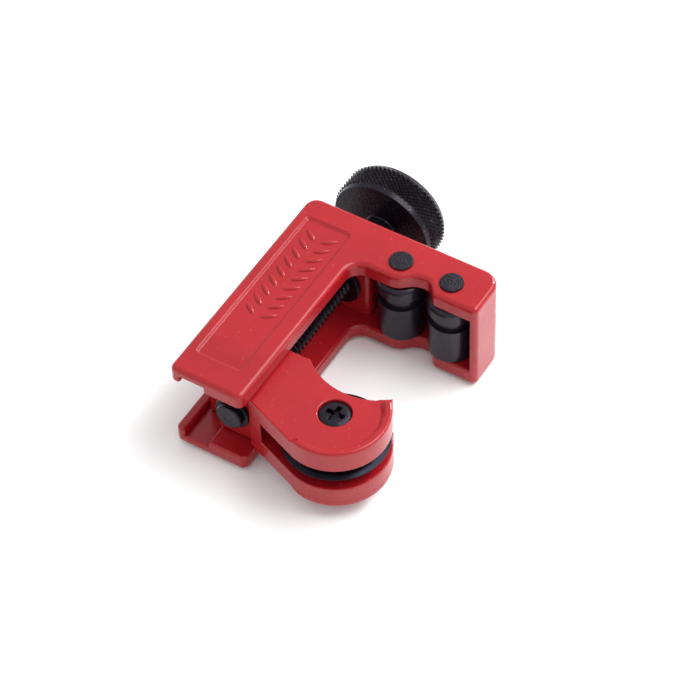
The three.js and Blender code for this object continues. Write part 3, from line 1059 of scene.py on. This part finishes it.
def knob(size):
    """Disc with a diamond knurl, plain chamfers, a shallow dish and a hub."""
    low, high = mm_box("knob")
    outer, hub_end, hub = low.x, high.x, 3.5
    face = outer + 7.6
    radius = mm_half("knob")[2]
    root = radius - size.knurl_depth * MM
    band_start, band_end = outer + 0.95, face - 0.95
    dish_floor, dish_radius, dish_rim = outer + 0.8, 8.4, 9.2
    outer_flat, inner_flat = radius - 0.9, 11.35
    columns, rows = 2 * size.diamonds, size.rows
    knurl = bmesh.new()
    first = knurl.verts.new((band_start, root, 0))
    last = knurl.verts.new((band_end, root, 0))
    edge = knurl.edges.new((first, last))
    bmesh.ops.subdivide_edges(knurl, edges=[edge], cuts=rows - 1)
    spin_round(knurl, columns)
    low_points = []
    for vert in knurl.verts:
        column = round((math.atan2(vert.co.z, vert.co.y) % math.tau) / (math.tau / columns))
        row = round((vert.co.x - band_start) / ((band_end - band_start) / rows))
        if (column + row) % 2:
            low_points.append(vert)
        elif 0 < row < rows:
            vert.co.y *= radius / root
            vert.co.z *= radius / root
    bmesh.ops.connect_verts(knurl, verts=low_points)
    rest = lathe([
        (dish_floor, 0, 0),
        (dish_floor, dish_radius, 0.3),
        (outer, dish_rim, 0.3),
        (outer, outer_flat, 0.2),
        (band_start, root, 0),
        (band_end, root, 0),
        (face, inner_flat, 0.12),
        (face, hub, 0.3),
        (hub_end, hub, 0.3),
        (hub_end, 0, 0),
    ], columns)
    band = [f for f in rest.faces if all(abs(math.hypot(v.co.y, v.co.z) - root) < 1e-3 for v in f.verts)
            and abs(f.calc_center_median().x - (band_start + band_end) / 2) < 0.5]
    bmesh.ops.delete(rest, geom=band, context="FACES")
    whole = gather(rest, knurl)
    bmesh.ops.remove_doubles(whole, verts=whole.verts, dist=20 * WELD)
    return move(face_outward(whole), axle_place("knob"))


def ring(node, bore, inner_edge, outer_edge):
    """A turned ring the length and radius of its CAD node."""
    low, high = mm_box(node)
    radius = mm_half(node)[2]
    return lathe([
        (low.x, bore, inner_edge),
        (low.x, radius, outer_edge),
        (high.x, radius, outer_edge),
        (high.x, bore, inner_edge),
    ], 64)


def cross_pin():
    """The pin through the knob's hub, turned to lie along Y."""
    radius, half, _ = mm_half("knob_lock_pin")
    pin = lathe([(-half, 0, 0), (-half, radius, 0.2), (half, radius, 0.2), (half, 0, 0)], 24)
    return move(turn_by(pin, math.pi / 2, "Z"), mm_middle("knob_lock_pin"))


# ---- rollers and cutting wheel -------------------------------------------------------


def pipe_roller(size, node):
    """A roller with a groove near its upper end and a rounded shoulder."""
    radius, _, top = mm_half(node)
    bore, body, groove, lower_rim = 2.2, radius - 0.15, 4.15, radius - 0.3
    roller = lathe([
        (-top, bore, 0.1),
        (-top, body, 0.35),
        (top - 6.0, body, 0.12),
        (top - 6.0, groove, 0.12),
        (top - 4.1, groove, 0.2),
        (top - 3.9, lower_rim, 0.12),
        (top - 3.4, lower_rim, 0.05),
        (top - 3.3, radius, 0.1),
        (top, radius, size.shoulder * MM),
        (top, bore, 0.1),
    ], 96, 8)
    return move(stand_up(roller), mm_middle(node))


def axle_rivet(node, middle):
    """A roller's axle with a flat head at each end."""
    head, _, top = mm_half(node)
    under, shank = top - 0.5, 1.9
    rivet = lathe([
        (-top, 0, 0),
        (-top, head, 0.25),
        (-under, head, 0.05),
        (-under, shank, 0),
        (under, shank, 0),
        (under, head, 0.05),
        (top, head, 0.25),
        (top, 0, 0),
    ], 64)
    return move(stand_up(rivet), middle)


def cutting_wheel(size):
    """A hub whose two sides slope out to a bevelled cutting edge."""
    radius, _, half_hub = mm_half("cutter_wheel")
    bore, hub, step = 2.35, size.hub * MM, 0.6
    bevel_half, bevel_start, edge_half = 1.35, radius - 2.6, 0.05
    wheel = lathe([
        (-half_hub, bore, 0.1),
        (-half_hub, hub, 0.2),
        (-half_hub + 0.5, hub + step, 0),
        (-bevel_half, bevel_start, 0.3),
        (-edge_half, radius, 0.03),
        (edge_half, radius, 0.03),
        (bevel_half, bevel_start, 0.3),
        (half_hub - 0.5, hub + step, 0),
        (half_hub, hub, 0.2),
        (half_hub, bore, 0.1),
    ], 128)
    return move(stand_up(wheel), mm_middle("cutter_wheel"))


def wheel_screw(size):
    """The wheel's axle: a low domed head with a cross for the driver."""
    low, high = mm_box("wheel_screw")
    top, end = high.z, low.z
    head, shank, seat = mm_half("wheel_screw")[0], 2.1, top - 1.9
    screw = stand_up(lathe([
        (end, 0, 0),
        (end, shank, 0.35),
        (seat, shank, 0),
        (seat, head, 0.1),
        (top - 0.3, head, 0.2),
        (top - 0.05, head - 0.9, 0.5),
        (top, head - 2.2, 0),
        (top, 0, 0),
    ], 64))
    reach, arm, depth = size.cross * MM, 0.55, 1.3
    long, narrow, tall = (-reach, reach), (-arm, arm), (top - depth, top + 1)
    cross = combine(block(long, narrow, tall), "UNION", block(narrow, long, tall))
    screw = combine(screw, "DIFFERENCE", cross)

    def width(edge, spot):
        return 0.12 if spot.z > top - 0.6 and spot.xy.length < reach + 0.2 else 0.0

    middle = mm_middle("cutter_wheel")
    return move(soften(screw, width, 2), (middle.x, middle.y, 0))


# ---- operators -----------------------------------------------------------------------

# The studio's sizes and places are in metres; the lights' places are from the tool's middle.
FLOOR_SIZE = 6.0
FLOOR_GAP = 0.00002
KEY_PLACE, KEY_SIZE = Vector((-0.14, 0.20, 0.38)), 0.33
RIM_PLACE, RIM_SIZE = Vector((-0.45, 0.10, 0.22)), 0.08


class BuildStage(bpy.types.Operator):
    """Lay the floor, hang the lights and set the camera"""

    bl_idname = "cutter.build_stage"
    bl_label = "Studio"

    def execute(self, context):
        studio = context.scene.cutter_studio
        low, high = CAD_BOX
        centre = (low + high) / 2
        floor_mesh = bmesh.new()
        bmesh.ops.create_grid(floor_mesh, x_segments=1, y_segments=1, size=FLOOR_SIZE)
        floor = sketch("studio_floor", move(floor_mesh, (0, 0, low.z - FLOOR_GAP)))
        floor.data.materials.append(finish_named("studio floor"))

        world = bpy.data.worlds.new("studio")
        world.use_nodes = True
        background = world.node_tree.nodes["Background"]
        background.inputs["Color"].default_value = (1.0, 1.0, 1.0, 1.0)
        background.inputs["Strength"].default_value = studio.fill
        context.scene.world = world
        context.scene.view_settings.view_transform = "Standard"

        a, e = studio.azimuth, studio.elevation
        back = Vector((math.sin(a) * math.cos(e), -math.cos(a) * math.cos(e), math.sin(e)))
        level = Vector((math.cos(a), math.sin(a), 0.0))
        level_up = back.cross(level)
        right = math.cos(studio.roll) * level + math.sin(studio.roll) * level_up
        up = math.cos(studio.roll) * level_up - math.sin(studio.roll) * level
        camera_data = bpy.data.cameras.new("camera")
        camera_data.lens = studio.lens
        camera_data.sensor_width = 36.0
        camera_data.clip_start = 0.01
        camera = bpy.data.objects.new("camera", camera_data)
        camera.matrix_world = Matrix.Translation(
            centre + back * studio.distance + right * studio.slide + up * studio.lift
        ) @ Matrix((right, up, back)).transposed().to_4x4()
        context.scene.collection.objects.link(camera)
        context.scene.camera = camera

        self.hang_light(context, "key", centre + KEY_PLACE, centre, KEY_SIZE, studio.key)
        self.hang_light(context, "rim", centre + RIM_PLACE, centre, RIM_SIZE, studio.rim)
        return {"FINISHED"}

    def hang_light(self, context, name, spot, aim, size, energy):
        light = bpy.data.lights.new(name, "AREA")
        light.shape = "SQUARE"
        light.size = size
        light.energy = energy
        obj = bpy.data.objects.new(name, light)
        obj.location = spot
        obj.rotation_euler = (aim - spot).to_track_quat("-Z", "Y").to_euler()
        context.scene.collection.objects.link(obj)


class BuildFrame(bpy.types.Operator):
    """Cast the C-shaped frame and the raised bars on its panels"""

    bl_idname = "cutter.build_frame"
    bl_label = "Frame casting"

    def execute(self, context):
        size = context.scene.cutter_frame
        paint = finish_named("red paint")
        place("frame_casting", frame_casting(size), "frame_body", "frame", paint)
        place("panel_grip_bars", grip_bars(size), "frame_body", None, paint)
        return {"FINISHED"}


class BuildCarriage(bpy.types.Operator):
    """Cast the carriage with its cheeks, wheel slot and raised lips"""

    bl_idname = "cutter.build_carriage"
    bl_label = "Carriage casting"

    def execute(self, context):
        casting, paint = carriage_casting(context.scene.cutter_carriage), finish_named("red paint")
        place("carriage_casting", casting, "carriage_body", "slider", paint)
        return {"FINISHED"}


class BuildScrew(bpy.types.Operator):
    """Turn the feed screw, its end ring, its washer and the knob's lock pin"""

    bl_idname = "cutter.build_screw"
    bl_label = "Feed screw"

    def execute(self, context):
        oxide = finish_named("black oxide")
        axis = axle_place("feed_screw")
        screw = feed_screw(context.scene.cutter_screw)
        snap_ring = move(ring("screw_end_ring", 2.42, 0.08, 0.2), axis)
        washer = move(ring("thrust_washer", 3.3, 0.1, 0.2), axis)
        place("threaded_feed_screw", screw, "screw_body", "feed_screw",
              finish_named("threaded oxide"), crease=20.0)
        place("snap_ring", snap_ring, "screw_body", "screw_end_ring", oxide)
        place("thrust_ring", washer, "frame_body", "thrust_washer", oxide)
        place("knob_cross_pin", cross_pin(), "screw_body", "knob_lock_pin", oxide)
        return {"FINISHED"}


class BuildKnob(bpy.types.Operator):
    """Turn and knurl the knob"""

    bl_idname = "cutter.build_knob"
    bl_label = "Knurled knob"

    def execute(self, context):
        turned = knob(context.scene.cutter_knob)
        place("knurled_knob", turned, "screw_body", "knob", finish_named("knurled oxide"),
              crease=20.0)
        return {"FINISHED"}


class BuildRollers(bpy.types.Operator):
    """Turn the two rollers and head their rivets"""

    bl_idname = "cutter.build_rollers"
    bl_label = "Rollers and rivets"

    def execute(self, context):
        size = context.scene.cutter_wheels
        steel, oxide = finish_named("roller steel"), finish_named("pebbled oxide")
        for end in ("near", "far"):
            roller, rivet = f"roller_{end}", f"roller_rivet_{end}"
            turned = pipe_roller(size, roller)
            place(f"pipe_roller_{end}", turned, f"{roller}_body", roller, steel)
            headed = axle_rivet(rivet, mm_middle(roller))
            place(f"axle_rivet_{end}", headed, "frame_body", rivet, oxide)
        return {"FINISHED"}


class BuildWheel(bpy.types.Operator):
    """Grind the cutting wheel and set its cross-head screw"""

    bl_idname = "cutter.build_wheel"
    bl_label = "Cutting wheel"

    def execute(self, context):
        size = context.scene.cutter_wheels
        place("cutting_wheel", cutting_wheel(size), "wheel_body", "cutter_wheel",
              finish_named("blued steel"))
        place("wheel_axle_screw", wheel_screw(size), "carriage_body", "wheel_screw",
              finish_named("black oxide"))
        return {"FINISHED"}


class CutterPanel(bpy.types.Panel):
    """Lists the cutter's pieces and their sizes"""

    bl_idname = "VIEW3D_PT_pipe_cutter"
    bl_label = "Pipe cutter"
    bl_space_type = "VIEW_3D"
    bl_region_type = "UI"
    bl_category = "Pipe cutter"

    def draw(self, context):
        column = self.layout.column()
        for operator in BUILD_STEPS:
            column.operator(operator.bl_idname)
        for label, _ in SETTINGS:
            box = self.layout.box()
            group = getattr(context.scene, label)
            for name in group.bl_rna.properties.keys():
                if name not in {"rna_type", "name"}:
                    box.prop(group, name)


BUILD_STEPS = (BuildStage, BuildFrame, BuildCarriage, BuildScrew, BuildKnob, BuildRollers, BuildWheel)
SETTINGS = (
    ("cutter_frame", CutterFrameSizes),
    ("cutter_carriage", CutterCarriageSizes),
    ("cutter_screw", CutterScrewSizes),
    ("cutter_knob", CutterKnobSizes),
    ("cutter_wheels", CutterWheelSizes),
    ("cutter_finishes", CutterFinishes),
    ("cutter_studio", CutterStudio),
)


def register():
    for label, group in SETTINGS:
        bpy.utils.register_class(group)
        setattr(bpy.types.Scene, label, PointerProperty(type=group))
    for operator in (*BUILD_STEPS, CutterPanel):
        bpy.utils.register_class(operator)


def unregister():
    for operator in reversed((*BUILD_STEPS, CutterPanel)):
        bpy.utils.unregister_class(operator)
    for label, group in reversed(SETTINGS):
        delattr(bpy.types.Scene, label)
        bpy.utils.unregister_class(group)


def main():
    register()
    for operator in BUILD_STEPS:
        category, name = operator.bl_idname.split(".")
        getattr(getattr(bpy.ops, category), name)()


if __name__ == "__main__":
    main()
